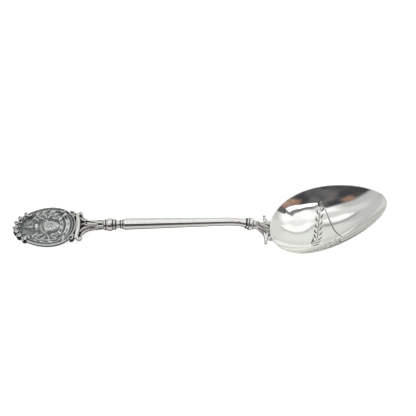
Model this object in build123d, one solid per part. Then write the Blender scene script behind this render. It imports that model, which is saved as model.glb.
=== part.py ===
from build123d import *

import math
import os

# A souvenir teaspoon lying on a table, made by a silversmith from separate soldered and pinned pieces.
# Millimetres and degrees. X runs from the finial's tip to the bowl's tip, Y across, Z up from the table.
# The origin is on the table, under the middle of the spoon's length.

# ---- driving dimensions ----
SPOON_LENGTH = 138.0
HANDLE_PITCH = 5.0  # the handle rises from its tip at this angle
AXIS_HEIGHT = 0.95  # of the stem's axis over the plane of the medallion's back
SOLDER_GAP = 0.02  # film of solder between two curved faces

# medallion, measured along the handle from its tip
MEDALLION_START = 0.9
MEDALLION_LENGTH = 22.9
MEDALLION_WIDTH = 17.8
MEDALLION_SKEW = -0.16  # an egg whose wide end is towards the stem
PLATE_THICK = 0.9
RIM_TOP = 1.8
RIM_WIDTH = 1.5
CURL_TOP = 2.0  # of the curls round the medallion's tip
CURL_RADIUS = 0.95
TANG_WIDTH = 4.0
TANG_END = 25.2
TANG_THICK = 0.7

# stations of the handle's pieces along its axis, from the tip
BRACKET_START = 22.6
BRACKET_REACH = 7.0  # of a volute, from the middle plane
NECK_START = 27.4
NECK_END = 34.2
KNOP_START = 35.1
KNOP_END = 37.8
COLLAR_START = 38.8
COLLAR_END = 40.6
STEM_START = 41.5
STEM_PITCH = 3.8  # the stem leaves the baluster a little flatter than the handle
STEM_STRAIGHT = 38.3  # before its end bends down to the lower knop
BEND_RADIUS = 22.8

# radii of the turned pieces
STEM_START_RADIUS = 2.17
STEM_END_RADIUS = 1.45
NECK_RADIUS = 1.8
KNOP_RADIUS = 2.4
KNOP_END_RADIUS = 1.95
RING_RADIUS = 2.1
COLLAR_RADIUS = 1.65
COLLAR_WAIST = 1.45
STEM_RING_RADIUS = 1.8
DOWEL_RADIUS = 0.75
DOWEL_BITE = 3.2  # how far a dowel runs into the piece at each end
TENON_RADIUS = 0.6
TENON_LENGTH = 1.8

# lower knop, on its own straight axis from the stem's end
LOWER_PITCH = -15.0
LOWER_RINGS = [("lower_ring", 0.9, 2.15), ("lower_knop", 1.65, 2.45), ("heel_ring", 1.3, 1.85)]
JOINT_OVERRUN = 0.5  # extra length on a piece that is then trimmed square to the lower knop
STEM_OVERRUN = 0.1  # the same, where the stem meets the baluster

# heel bracket
HEEL_PITCH = -26.8
HEEL_LENGTH = 7.2
HEEL_START_RADIUS = 1.6
HEEL_END_HALF_WIDTH = 3.4
HEEL_END_HALF_HEIGHT = 1.3
ARM_REACH = 6.0
ARM_STATION = 4.7
ARM_TOP = 0.1
ARM_BOTTOM = -1.6
BEAD_RADIUS = 0.65

# bowl
BOWL_PITCH = 23.4  # the rim rises towards the tip
BOWL_LENGTH = 45.5
BOWL_WIDTH = 30.4
BOWL_SKEW = 0.21  # an egg whose wide end is towards the stem
BOWL_DEPTH = 8.0
BOWL_DEEPEST = 0.42  # of the length, from the root
BOWL_THICK = 1.0
BOWL_POWER = 2.6  # the depth falls from the deepest point to the rim as the distance to this power

EGG_POINTS = 36
SLICE_SHARES = (1.0, 0.93, 0.84, 0.73, 0.6, 0.45, 0.3, 0.15)


# ---- helpers ----
def egg_points(length, width, skew, start=0.0, share=1.0, centre=0.5):
    """Points round an egg on the X axis, shrunk by share about a centre given as a part of its length."""
    widest = (math.sqrt(1 + 8 * skew**2) - 1) / (4 * skew)
    widest_y = math.sqrt(1 - widest**2) * (1 + skew * widest)
    points = []
    for i in range(EGG_POINTS):
        angle = 2 * math.pi * i / EGG_POINTS
        x = length * (1 - math.cos(angle)) / 2
        y = width / 2 * math.sin(angle) * (1 + skew * math.cos(angle)) / widest_y
        points.append((start + length * centre + share * (x - length * centre), share * y))
    return points


def egg_face(length, width, skew, start=0.0, share=1.0, centre=0.5, height=0.0):
    """The filled egg, lying at a height."""
    points = [(x, y, height) for x, y in egg_points(length, width, skew, start, share, centre)]
    return Face(Wire(Edge.make_spline(points, periodic=True)))


def turned(profile):
    """A solid of revolution about X, from (station, radius) points joined by straight lines."""
    outline = [(profile[0][0], 0.0)] + list(profile) + [(profile[-1][0], 0.0)]
    face = Face(Wire.make_polygon([(x, 0, r) for x, r in outline], close=True))
    return revolve(face, Axis.X)


def ring(start, end, radius, roundness=0.42):
    """A turned ring with shoulders rounded by a part of its width, and a bore for the dowel."""
    body = turned([(start, radius), (end, radius)])
    shoulders = body.edges().filter_by(GeomType.CIRCLE)
    return fillet(shoulders, roundness * (end - start)) - rod(start - 1, end + 1, DOWEL_RADIUS)


def rod(start, end, radius):
    """A round bar along X."""
    return turned([(start, radius), (end, radius)])


def on_axis(shape):
    """Lifts a shape turned about X onto the handle's axis."""
    return Pos(0, 0, AXIS_HEIGHT) * shape


def raised(outline, bottom, top):
    """A flat ornament: an outline on the medallion, between two heights."""
    return extrude(Pos(0, 0, bottom) * outline, top - bottom, dir=(0, 0, 1))


def mirrored(shape):
    """A shape and its mirror image across the spoon's middle plane, as two solids."""
    return Compound([shape.solid(), mirror(shape, Plane.XZ).solid()])


def sector(radius, width, half_angle, centre):
    """A curved strap of the given middle radius, symmetric about X."""
    inner, outer = radius - width / 2, radius + width / 2
    ends = [Vector(1, 0).rotate(Axis.Z, turn * half_angle) for turn in (-1, 1)]
    line = CenterArc((0, 0), outer, -half_angle, 2 * half_angle)
    line += CenterArc((0, 0), inner, -half_angle, 2 * half_angle)
    line += [Line(e * inner, e * outer) for e in ends]
    return Pos(centre, 0, 0) * make_face(line)


# ---- frames ----
pitch_sine = math.sin(math.radians(HANDLE_PITCH))
tip_place = (CURL_TOP * pitch_sine - SPOON_LENGTH / 2, 0, -MEDALLION_START * pitch_sine)
handle = Location(tip_place, (0, -HANDLE_PITCH, 0))
shaft = Location((handle * Pos(STEM_START, 0, AXIS_HEIGHT)).position, (0, -STEM_PITCH, 0))
bend_angle = STEM_PITCH - LOWER_PITCH
bend_end = Vector(
    STEM_STRAIGHT + BEND_RADIUS * math.sin(math.radians(bend_angle)),
    0,
    -BEND_RADIUS * (1 - math.cos(math.radians(bend_angle))),
)
stem_end = (shaft * Pos(bend_end)).position
lower = Location(stem_end, (0, -LOWER_PITCH, 0))
lower_length = sum(width for _, width, _ in LOWER_RINGS)
heel = Location((lower * Pos(lower_length, 0, 0)).position, (0, -HEEL_PITCH, 0))


# ---- bowl ----
def bowl_form(length, width, depth, start):
    """A solid bowl shape under its rim, as slices parallel to the rim that shrink to the deepest point."""
    slices = []
    for share in SLICE_SHARES:
        height = -depth * (1 - share**BOWL_POWER)
        slices.append(egg_face(length, width, BOWL_SKEW, start, share, BOWL_DEEPEST, height))
    bottom = Vertex(start + length * BOWL_DEEPEST, 0, -depth)
    return loft(slices + [bottom])


def bowl_frame():
    """The rim's frame: its tip ends the spoon, and the bowl's lowest point touches the table."""
    turned_up = Rot(0, -BOWL_PITCH, 0)
    box = (turned_up * bowl_outside).bounding_box()
    return Pos(SPOON_LENGTH / 2 - box.max.X, 0, -box.min.Z) * turned_up


bowl_outside = bowl_form(BOWL_LENGTH, BOWL_WIDTH, BOWL_DEPTH, 0.0)
bowl_inside = bowl_form(
    BOWL_LENGTH - 2 * BOWL_THICK, BOWL_WIDTH - 2 * BOWL_THICK, BOWL_DEPTH - BOWL_THICK, BOWL_THICK
)
bowl_place = bowl_frame()
bowl = bowl_place * (bowl_outside - bowl_inside)


def bowl_clearance():
    """The room the heel bracket leaves for the bowl: its outside, a solder film and the space over its rim."""
    length, width = BOWL_LENGTH + 2 * SOLDER_GAP, BOWL_WIDTH + 2 * SOLDER_GAP
    below = bowl_form(length, width, BOWL_DEPTH + SOLDER_GAP, -SOLDER_GAP)
    above = extrude(egg_face(length, width, BOWL_SKEW, -SOLDER_GAP), 8.0, dir=(0, 0, 1))
    return bowl_place * (below + above)


# ---- heel bracket, between the lower knop and the bowl ----
def heel_bracket():
    """A fluted leaf that widens from the knop to the bowl, with an arm each side that ends in a volute."""
    start = Plane((-JOINT_OVERRUN, 0, 0), x_dir=(0, 1, 0), z_dir=(1, 0, 0)) * Circle(HEEL_START_RADIUS)
    end = Plane((HEEL_LENGTH, 0, 0), x_dir=(0, 1, 0), z_dir=(1, 0, 0)) * Ellipse(
        HEEL_END_HALF_WIDTH, HEEL_END_HALF_HEIGHT
    )
    leaf = loft([start, end])
    back = ThreePointArc((2.2, 0), (3.35, 2.6), (3.95, ARM_REACH))
    front = ThreePointArc((5.45, ARM_REACH), (5.8, 4.9), (HEEL_LENGTH, 4.6))
    closing = Line(back @ 1, front @ 0) + Polyline(front @ 1, (HEEL_LENGTH, 0), back @ 0)
    half = make_face(back + front + closing)
    outline = half + mirror(half, Plane.XZ)
    arms = raised(outline, ARM_BOTTOM, ARM_TOP)
    return heel * (leaf + arms) - bowl_clearance() - lower_dowel(DOWEL_RADIUS) - lower_room(0, lower_length)


def upper_dowel(radius):
    """The pin through the baluster, from the neck into the stem."""
    return rod(NECK_END - DOWEL_BITE, STEM_START + DOWEL_BITE, radius)


def lower_dowel(radius):
    """The pin through the lower knop, from the stem into the heel bracket."""
    return lower * rod(-DOWEL_BITE, lower_length + DOWEL_BITE - 0.8, radius)


def lower_room(start, end):
    """A block over a stretch of the lower knop's axis, that trims a neighbour square to the knop."""
    return lower * Pos((start + end) / 2, 0, 0) * Box(end - start, 12, 12)


def heel_bead():
    """The small ball soldered on the end of an arm."""
    ball = Pos(ARM_STATION, ARM_REACH + 0.45, (ARM_TOP + ARM_BOTTOM) / 2) * Sphere(BEAD_RADIUS)
    seat = Pos(ARM_STATION, ARM_REACH - 2, 0) * Box(6, 4, 6)
    return ball - seat


# ---- handle ----
def stem():
    """The round stem: a straight taper, then a bend down to the lower knop, trimmed square to the baluster."""
    bend = TangentArc((STEM_STRAIGHT, 0, 0), bend_end, tangent=(1, 0, 0))
    share = STEM_STRAIGHT / (STEM_STRAIGHT + bend.length)
    middle_radius = STEM_START_RADIUS + share * (STEM_END_RADIUS - STEM_START_RADIUS)
    cone = turned([(-STEM_OVERRUN, STEM_START_RADIUS), (STEM_STRAIGHT, middle_radius)])
    shoulder = cone.edges().filter_by(GeomType.CIRCLE).sort_by(Axis.X)[0]
    cone = chamfer(shoulder, 0.7, 0.35)
    ends = [(0, middle_radius), (1, STEM_END_RADIUS)]
    sections = [Plane(bend @ t, z_dir=bend % t) * Circle(radius) for t, radius in ends]
    tail = sweep(sections, path=bend, multisection=True)
    stub = Location(bend_end, (0, bend_angle, 0)) * rod(0, JOINT_OVERRUN, STEM_END_RADIUS)
    body = shaft * (cone + tail + stub) - handle * on_axis(upper_dowel(DOWEL_RADIUS))
    baluster_room = handle * on_axis(Pos(STEM_START - 1, 0, 0) * Box(2, 12, 12))
    return body - baluster_room - lower_dowel(DOWEL_RADIUS) - lower_room(0, lower_length)


def barrel(start, end, end_radius, middle_radius):
    """A turned piece whose side is one arc, bored for the dowel: a knop swells and a collar is hollow."""
    side = ThreePointArc((start, 0, end_radius), ((start + end) / 2, 0, middle_radius), (end, 0, end_radius))
    wire = side + Polyline(side @ 1, (end, 0, 0), (start, 0, 0), side @ 0)
    return revolve(make_face(wire), Axis.X) - rod(start - 1, end + 1, DOWEL_RADIUS)


def leaf_neck():
    """The neck that carries the long leaves, waisted, with a tenon into the scroll bracket."""
    side = Spline(
        (NECK_START, 0, NECK_RADIUS + 0.15),
        (NECK_START + 3, 0, NECK_RADIUS),
        (NECK_START + 5, 0, NECK_RADIUS - 0.1),
        (NECK_END, 0, NECK_RADIUS + 0.1),
    )
    wire = side + Polyline(side @ 1, (NECK_END, 0, 0), (NECK_START, 0, 0), side @ 0)
    body = revolve(make_face(wire), Axis.X)
    tenon = rod(NECK_START - TENON_LENGTH, NECK_START + 0.5, TENON_RADIUS)
    return body + tenon - upper_dowel(DOWEL_RADIUS)


def scroll_bracket():
    """The crossbar behind the medallion: hollow sides that run out from the neck to a volute each side."""
    side = ThreePointArc((NECK_START, 2.0), (26.0, 3.2), (25.2, 5.6))
    volute = ThreePointArc(side @ 1, (26.4, 6.6), (25.0, BRACKET_REACH))
    corners = [(23.4, 6.8), (BRACKET_START, 4.6), (BRACKET_START, 0), (NECK_START, 0)]
    front = Polyline(volute @ 1, *corners, side @ 0)
    half = make_face(side + volute + front)
    body = raised(half + mirror(half, Plane.XZ), 0.0, RIM_TOP + 0.1)
    rebate_start = BRACKET_START - 1
    along = (Align.MIN, Align.CENTER, Align.CENTER)
    rebate = Box(TANG_END - rebate_start, TANG_WIDTH, 2 * TANG_THICK, align=along)
    mortise = on_axis(rod(NECK_START - TENON_LENGTH, NECK_START + 1, TENON_RADIUS))
    return body - medallion_form(-1, 3) - Pos(rebate_start, 0, 0) * rebate - mortise


# ---- medallion ----
def medallion_form(bottom, top, inset=0.0):
    """The medallion's egg between two heights, inset from its edge."""
    face = egg_face(
        MEDALLION_LENGTH - 2 * inset, MEDALLION_WIDTH - 2 * inset, MEDALLION_SKEW, MEDALLION_START + inset
    )
    return extrude(Pos(0, 0, bottom) * face, top - bottom, dir=(0, 0, 1))


def medallion_plate():
    """The backing plate, with a tang that laps under the scroll bracket."""
    start = MEDALLION_START + MEDALLION_LENGTH - 2
    tang = Box(TANG_END - start, TANG_WIDTH, TANG_THICK, align=(Align.MIN, Align.CENTER, Align.MIN))
    return medallion_form(0, PLATE_THICK) + Pos(start, 0, 0) * tang


def medallion_rim():
    """The raised border."""
    return medallion_form(PLATE_THICK, RIM_TOP) - medallion_form(-1, 3, RIM_WIDTH)


def edge_scrolls():
    """Small curls soldered round the outside of the medallion's tip."""
    discs = []
    for turn in (-58, -38, -19, 0, 19, 38, 58):
        angle = math.radians(turn)
        centre = (CURL_RADIUS + 8.35 * (1 - math.cos(angle)), 7.1 * math.sin(angle))
        discs.append(raised(Pos(*centre) * Circle(CURL_RADIUS), 0.15, CURL_TOP) - medallion_form(-1, 3))
    return Compound([d.solid() for d in discs])


def corner_scroll():
    """A curl that fills the corner between the medallion's edge and the scroll bracket's arm."""
    disc = raised(Pos(22.4, 6.0) * Circle(1.15), 0.15, RIM_TOP)
    return disc - medallion_form(-1, 3) - scroll_bracket()


def shield():
    """A plain heater shield, its point towards the stem."""
    side = ThreePointArc((12.7, 3.1), (15.6, 2.75), (17.5, 0))
    half = make_face([Line((12.7, 0), (12.7, 3.1)), side, Line((17.5, 0), (12.7, 0))])
    return raised(half + mirror(half, Plane.XZ), PLATE_THICK, 2.1)


def coronet():
    """A plain coronet over the shield: a cap that widens to a row of points."""
    half = make_face(
        Polyline((11.9, 0), (11.9, 2.0), (8.6, 2.6), (9.3, 1.3), (7.3, 0.9), (6.3, 0), (11.9, 0))
    )
    return raised(half + mirror(half, Plane.XZ), PLATE_THICK, 1.9)


def leaf_spray():
    """One side's spray of leaves round the shield."""
    outer = ThreePointArc((5.6, 2.6), (11.4, 6.7), (17.6, 5.9))
    inner = ThreePointArc((17.6, 5.9), (12.6, 4.1), (5.6, 2.6))
    return raised(make_face([outer, inner]), PLATE_THICK, 1.7)


# ---- all the pieces ----
pieces = {
    "bowl": bowl,
    "heel_bracket": heel_bracket(),
    "heel_beads": heel * mirrored(heel_bead()),
    "lower_dowel": lower_dowel(DOWEL_RADIUS - SOLDER_GAP),
    "stem": stem(),
    "stem_ring": handle * on_axis(ring(COLLAR_END, STEM_START, STEM_RING_RADIUS)),
    "hollow_collar": handle * on_axis(barrel(COLLAR_START, COLLAR_END, COLLAR_RADIUS, COLLAR_WAIST)),
    "front_ring": handle * on_axis(ring(KNOP_END, COLLAR_START, RING_RADIUS)),
    "baluster_knop": handle * on_axis(barrel(KNOP_START, KNOP_END, KNOP_END_RADIUS, KNOP_RADIUS)),
    "back_ring": handle * on_axis(ring(NECK_END, KNOP_START, RING_RADIUS)),
    "upper_dowel": handle * on_axis(upper_dowel(DOWEL_RADIUS - SOLDER_GAP)),
    "leaf_neck": handle * on_axis(leaf_neck()),
    "scroll_bracket": handle * scroll_bracket(),
    "medallion_plate": handle * medallion_plate(),
    "medallion_rim": handle * medallion_rim(),
    "edge_scrolls": handle * edge_scrolls(),
    "corner_scrolls": handle * mirrored(corner_scroll()),
    "shield": handle * shield(),
    "coronet": handle * coronet(),
    "leaf_spray_left": handle * leaf_spray(),
    "leaf_spray_right": handle * mirror(leaf_spray(), Plane.XZ),
    "inner_ribbon": handle * raised(sector(5.3, 1.2, 44, 13.3), PLATE_THICK, 1.8),
    "outer_ribbon": handle * raised(sector(7.65, 1.4, 33, 13.3), PLATE_THICK, 1.9),
}
station = 0.0
for name, width, radius in LOWER_RINGS:
    pieces[name] = lower * ring(station, station + width, radius)
    station += width

os.makedirs("parts", exist_ok=True)
for name, shape in pieces.items():
    export_step(shape, f"parts/{name}.step")
    box = shape.bounding_box()
    print(name, len(shape.solids()), f"{shape.volume:.2f}", [round(v, 2) for v in (*box.min, *box.max)])
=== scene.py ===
"""The looks of the souvenir spoon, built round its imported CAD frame.

Shapes are worked out in millimetres, in the frames that the CAD uses for the handle, the lower knop, the heel
bracket and the bowl, and are turned into metres in the row frame when the meshes are made.
"""

import math

import bmesh
import bpy
import numpy as np
from mathutils import Matrix, Vector


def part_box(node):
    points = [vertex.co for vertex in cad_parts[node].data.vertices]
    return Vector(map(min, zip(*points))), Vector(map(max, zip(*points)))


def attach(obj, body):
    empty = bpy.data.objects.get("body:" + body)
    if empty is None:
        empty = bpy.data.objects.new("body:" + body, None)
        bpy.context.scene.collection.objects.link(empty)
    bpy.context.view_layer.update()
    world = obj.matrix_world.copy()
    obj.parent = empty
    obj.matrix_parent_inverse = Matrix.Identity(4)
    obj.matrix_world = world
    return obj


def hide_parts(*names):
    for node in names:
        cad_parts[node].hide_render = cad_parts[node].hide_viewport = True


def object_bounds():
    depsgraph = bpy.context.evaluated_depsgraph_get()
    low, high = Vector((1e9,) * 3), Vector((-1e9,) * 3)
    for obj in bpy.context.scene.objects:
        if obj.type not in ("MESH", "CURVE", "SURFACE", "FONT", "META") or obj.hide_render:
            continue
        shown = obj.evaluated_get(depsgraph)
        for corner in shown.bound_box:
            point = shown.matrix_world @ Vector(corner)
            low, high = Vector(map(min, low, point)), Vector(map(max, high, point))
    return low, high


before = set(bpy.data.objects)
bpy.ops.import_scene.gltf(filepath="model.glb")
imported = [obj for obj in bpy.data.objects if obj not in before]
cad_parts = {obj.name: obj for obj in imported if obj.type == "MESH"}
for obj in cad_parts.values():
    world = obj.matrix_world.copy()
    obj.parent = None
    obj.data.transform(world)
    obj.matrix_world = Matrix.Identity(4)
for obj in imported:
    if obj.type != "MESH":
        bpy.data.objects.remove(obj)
cad_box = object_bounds()

# ---- driving dimensions, millimetres and degrees, as in the CAD ----
MM = 0.001
SPOON_LENGTH = (cad_box[1][0] - cad_box[0][0]) / MM
HANDLE_PITCH = 5.0
AXIS_HEIGHT = 0.95
CURL_TOP = 2.0
EGG_START, EGG_LENGTH, EGG_WIDTH, EGG_SKEW = 0.9, 22.9, 17.8, -0.16
PLATE_THICK, RIM_TOP, RIM_WIDTH = 0.9, 1.8, 1.5
NECK_START, NECK_END = 27.4, 34.2
KNOP_START, KNOP_END = 35.1, 37.8
COLLAR_START, COLLAR_END = 38.8, 40.6
STEM_START, STEM_PITCH, STEM_STRAIGHT, BEND_RADIUS = 41.5, 3.8, 38.3, 22.8
BARREL_END_RADIUS, BARREL_SWELL = 1.82, 0.58
RING_RADIUS, STEM_RING_RADIUS, COLLAR_WAIST, COLLAR_FLARE = 2.1, 1.8, 1.42, 0.28
STEM_START_RADIUS, STEM_END_RADIUS, STEM_SHOULDER = 2.17, 1.45, 0.85
STEM_FLARE, STEM_FLARE_LENGTH = 0.28, 3.2
LOWER_PITCH, HEEL_PITCH = -15.0, -26.8
LOWER_RINGS = [("lower_ring", 0.9, 2.15), ("lower_knop", 1.65, 2.45), ("heel_ring", 1.3, 1.85)]
BOWL_PITCH, BOWL_LENGTH, BOWL_WIDTH, BOWL_SKEW = 23.4, 45.5, 30.4, 0.21
BOWL_DEPTH, BOWL_DEEPEST, BOWL_POWER, BOWL_THICK = 8.0, 0.42, 2.6, 1.0


# ---- frames: each carries local millimetres to the row frame ----
def placing(x, z, pitch):
    """A frame in the spoon's middle plane, its X axis pitched up by an angle in degrees."""
    c, s = math.cos(math.radians(pitch)), math.sin(math.radians(pitch))
    return np.array([[c, 0, -s, x], [0, 1, 0, 0], [s, 0, c, z]], float)


def carried(place, points):
    """Points of a frame, in millimetres of the row frame."""
    return np.asarray(points, float) @ place[:, :3].T + place[:, 3]


def beyond(place, x, z, pitch):
    """A frame that starts at a point of another one."""
    point = carried(place, (x, 0, z))
    return placing(point[0], point[2], pitch)


pitch_sine = math.sin(math.radians(HANDLE_PITCH))
HANDLE = placing(CURL_TOP * pitch_sine - SPOON_LENGTH / 2, -EGG_START * pitch_sine, HANDLE_PITCH)
SHAFT = beyond(HANDLE, STEM_START, AXIS_HEIGHT, STEM_PITCH)
bend = math.radians(STEM_PITCH - LOWER_PITCH)
LOWER = beyond(
    SHAFT,
    STEM_STRAIGHT + BEND_RADIUS * math.sin(bend),
    -BEND_RADIUS * (1 - math.cos(bend)),
    LOWER_PITCH,
)
HEEL = beyond(LOWER, sum(width for _, width, _ in LOWER_RINGS), 0, HEEL_PITCH)
bowl_low, bowl_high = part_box("bowl")
bowl_rise = BOWL_LENGTH * math.sin(math.radians(BOWL_PITCH))
BOWL = placing(bowl_low.x / MM, bowl_high.z / MM - bowl_rise, BOWL_PITCH)
AXIS = HANDLE.copy()
AXIS[:, 3] = carried(HANDLE, (0, 0, AXIS_HEIGHT))


# ---- materials ----
class Nodes:
    """Short calls for building a node tree."""

    def __init__(self, tree):
        self.tree = tree
        tree.nodes.clear()

    def add(self, kind, settings=None, **inputs):
        """A shader node of a kind, with its settings, and its inputs by name."""
        node = self.tree.nodes.new("ShaderNode" + kind)
        for key, value in (settings or {}).items():
            setattr(node, key, value)
        for key, value in inputs.items():
            self.feed(node.inputs[key.replace("_", " ")], value)
        return node

    def feed(self, socket, value):
        if isinstance(value, bpy.types.NodeSocket):
            self.tree.links.new(value, socket)
        else:
            socket.default_value = value

    def math(self, operation, a, b=0.0, clamp=False):
        node = self.add("Math", {"operation": operation, "use_clamp": clamp})
        self.feed(node.inputs[0], a)
        self.feed(node.inputs[1], b)
        return node.outputs[0]

    def plus(self, a, b):
        return self.math("ADD", a, b)

    def minus(self, a, b):
        return self.math("SUBTRACT", a, b)

    def times(self, a, b):
        return self.math("MULTIPLY", a, b)

    def ramp(self, value, low, high, to_low=0.0, to_high=1.0):
        node = self.add("MapRange", {"interpolation_type": "SMOOTHSTEP"})
        for index, number in enumerate((value, low, high, to_low, to_high)):
            self.feed(node.inputs[index], number)
        return node.outputs[0]

    def mix(self, share, a, b):
        node = self.add("Mix", {"data_type": "RGBA"})
        self.feed(node.inputs["Factor"], share)
        self.feed(node.inputs["A"], a)
        self.feed(node.inputs["B"], b)
        return node.outputs["Result"]

    def noise(self, scale, detail=3.0, stretch=(1, 1, 1)):
        """Noise of about one feature in scale millimetres, stretched along the axes."""
        where = self.add("TexCoord").outputs["Object"]
        mapping = self.add("Mapping", Vector=where)
        mapping.inputs["Scale"].default_value = tuple(1 / (scale * MM * k) for k in stretch)
        node = self.add("TexNoise", Vector=mapping.outputs[0], Scale=1.0, Detail=detail)
        return node.outputs["Fac"]


CLOUD_SIZE, GRAIN_SIZE, STREAK_SIZE = 1.6, 0.25, 0.1  # features of the silver's noises, in millimetres
OXIDE_AND_SHADE_START, OXIDE_AND_SHADE_FULL = 0.62, 1.0
SCRATCH_DEPTH = 0.004


def new_material(name):
    """A material with an empty node tree."""
    material = bpy.data.materials.new(name)
    material.use_nodes = True
    return material, Nodes(material.node_tree)


def silver(name, bright, dark, polish, dullness, tarnish, wear, scratch):
    """Silver that is polished on its high places and dark with oxide in its recesses; the same dark colour is
    painted shade where a piece sets its recess from its height or its outer side.

    polish and dullness are the roughness of the bright silver and of the oxide. tarnish is how far the oxide
    spreads over the open surface, and wear how sharply it ends. scratch is how far fine scratches roughen it.
    """
    material, n = new_material(name)
    recess = n.add("Attribute", {"attribute_name": "recess"}).outputs["Fac"]
    cloud = n.minus(n.noise(CLOUD_SIZE, 4), 0.5)
    grain = n.minus(n.noise(GRAIN_SIZE, 3), 0.5)
    level = n.plus(recess, n.times(cloud, 0.35))
    level = n.plus(level, n.times(grain, 0.22))
    oxide_and_shade = n.ramp(level, OXIDE_AND_SHADE_START - tarnish, OXIDE_AND_SHADE_FULL - tarnish * wear)
    streak = n.noise(STREAK_SIZE, 2, (14, 1, 4))
    rough = n.plus(n.times(oxide_and_shade, dullness - polish), polish)
    rough = n.plus(rough, n.times(n.minus(streak, 0.5), scratch))
    rough = n.math("ADD", rough, n.times(cloud, 0.05), clamp=True)
    bump = n.add("Bump", Height=n.plus(streak, n.times(grain, 2.0)))
    bump.inputs["Strength"].default_value = min(1.0, 2 * scratch)
    bump.inputs["Distance"].default_value = SCRATCH_DEPTH * MM
    warmer = (bright[0], bright[1] * 0.985, bright[2] * 0.95, 1)
    warm = n.mix(n.ramp(cloud, -0.1, 0.25), (*bright, 1), warmer)
    shader = n.add("BsdfPrincipled", Metallic=1.0, Roughness=rough, Normal=bump.outputs[0])
    n.feed(shader.inputs["Base Color"], n.mix(oxide_and_shade, warm, (*dark, 1)))
    n.add("OutputMaterial", Surface=shader.outputs[0])
    return material


SILVERS = {  # bright colour, dark colour, polish, dullness, tarnish, wear, scratch
    # The dark colours are oxide in the hollows, and also painted shade where a piece darkens its lower or
    # outer sides: leaf_silver on the bracket, relief_silver on the border's outer wall, field_silver on the
    # plate's edge, curl_silver (near black) on the curls.
    "bowl_silver": ((0.93, 0.93, 0.915), (0.16, 0.13, 0.11), 0.035, 0.35, 0.1, 0.5, 0.03),
    "stem_silver": ((0.86, 0.86, 0.85), (0.10, 0.09, 0.09), 0.07, 0.35, 0.1, 0.5, 0.06),
    "turned_silver": ((0.94, 0.94, 0.93), (0.1, 0.095, 0.09), 0.08, 0.38, 0.36, 0.7, 0.08),
    "leaf_silver": ((0.84, 0.83, 0.81), (0.06, 0.056, 0.054), 0.13, 0.4, 0.5, 0.8, 0.1),
    "heel_silver": ((0.96, 0.95, 0.94), (0.045, 0.042, 0.04), 0.12, 0.38, 0.3, 0.6, 0.1),
    "baluster_silver": ((0.82, 0.81, 0.8), (0.1, 0.095, 0.09), 0.09, 0.38, 0.45, 0.7, 0.08),
    "field_silver": ((0.52, 0.54, 0.54), (0.165, 0.19, 0.195), 0.26, 0.42, 0.42, 0.9, 0.1),
    "relief_silver": ((0.8, 0.815, 0.81), (0.075, 0.085, 0.09), 0.16, 0.4, 0.4, 0.85, 0.1),
    "curl_silver": ((0.86, 0.87, 0.865), (0.035, 0.038, 0.042), 0.14, 0.36, 0.36, 0.7, 0.1),
    "dowel_silver": ((0.80, 0.80, 0.79), (0.2, 0.19, 0.18), 0.3, 0.5, 0.2, 0.5, 0.12),
}
SILVER = {name: silver(name, *finish) for name, finish in SILVERS.items()}


# ---- meshes ----
def placed(name, data):
    """A new object in the scene."""
    obj = bpy.data.objects.new(name, data)
    bpy.context.scene.collection.objects.link(obj)
    return obj


def unit(vectors):
    """Vectors, or rows of them, made 1 long."""
    return vectors / np.linalg.norm(vectors, axis=-1, keepdims=True)


def around(count):
    """Equal angles round a full turn."""
    return np.arange(count) * 2 * math.pi / count


def grid_faces(rows, columns, ring=False):
    """Quads over a grid of points, whose columns may close into a ring."""
    r, c = np.meshgrid(np.arange(rows - 1), np.arange(columns if ring else columns - 1), indexing="ij")
    right = (c + 1) % columns
    first, second = r * columns, (r + 1) * columns
    return np.stack([first + c, first + right, second + right, second + c], -1).reshape(-1, 4)


def capped_faces(rows, columns):
    """Faces over a grid whose columns close into a ring, with a cap on each end."""
    faces = [tuple(f) for f in grid_faces(rows, columns, ring=True)]
    return faces + [tuple(range(columns))[::-1], tuple(range((rows - 1) * columns, rows * columns))]


HOLLOW_ROUNDS = ((5, 1.5), (24, 1.3))  # rounds of smoothing, and how much the hollows they find count


def neighbour_mean(values, edges, rounds):
    """Values smoothed over a mesh, each round taking the mean of a point's neighbours."""
    count = len(values)
    degree = np.bincount(edges.ravel(), minlength=count)[:, None]
    for _ in range(rounds):
        total = np.stack(
            [
                np.bincount(edges[:, 0], values[edges[:, 1], k], count)
                + np.bincount(edges[:, 1], values[edges[:, 0], k], count)
                for k in range(values.shape[1])
            ],
            -1,
        )
        values = total / np.maximum(degree, 1)
    return values


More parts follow.
